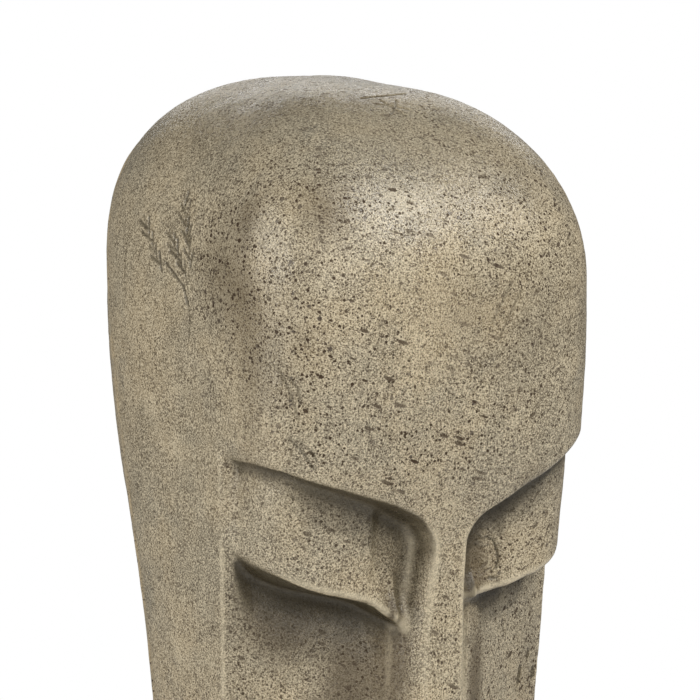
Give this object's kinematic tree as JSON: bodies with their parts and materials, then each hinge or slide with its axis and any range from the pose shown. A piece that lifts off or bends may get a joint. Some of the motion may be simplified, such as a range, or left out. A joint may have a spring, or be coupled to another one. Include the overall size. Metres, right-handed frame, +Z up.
{
  "type": "tiki head statue",
  "caption": "Tall stylised stone-look head statue, cast hollow in two halves, with an overhanging brow, a long nose, a screwed base plate and a sand-filled foot closed by a pull-out bung.",
  "frame": {"origin": "on the floor, in the middle of the bounding box", "axes": "+Z up, the face looks along -Y, the figure's left side is +X"},
  "size_m": [0.2444, 0.2536, 0.76],
  "materials": {
    "cast_stone": "dry, matt tan-grey stone-and-resin casting with dark brown spatter and a fine pitted grain",
    "filler": "matt filler rubbed flush along the joint of the two halves",
    "glass_tape": "glass-fibre strip wetted out with resin",
    "timber": "rough-sawn softwood",
    "base_board": "dark grey moulded board with a fine leather-like grain",
    "zinc_screws": "bright zinc-plated steel",
    "zinc_washers": "bright zinc-plated steel",
    "black_rubber": "matt black rubber",
    "collar_plastic": "matt black moulded plastic",
    "bung_rubber": "dark grey rubber",
    "sand": "dry washed sand"
  },
  "bodies": {
    "statue": {"front_shell": "cast_stone", "back_shell": "cast_stone", "seam_filler": "filler", "seam_tape": "glass_tape", "screw_blocks": "timber", "base_plate": "base_board", "base_screws": "zinc_screws", "rubber_feet": "black_rubber", "foot_washers": "zinc_washers", "foot_screws": "zinc_screws", "fill_collar": "collar_plastic", "sand_fill": "sand"},
    "bung": {"fill_bung": "bung_rubber"}
  },
  "joints": [
    {"name": "bung_pull", "type": "slide", "parent": "statue", "child": "bung", "axis": [0, 0, -1], "range_m": [0, 0.04]}
  ]
}
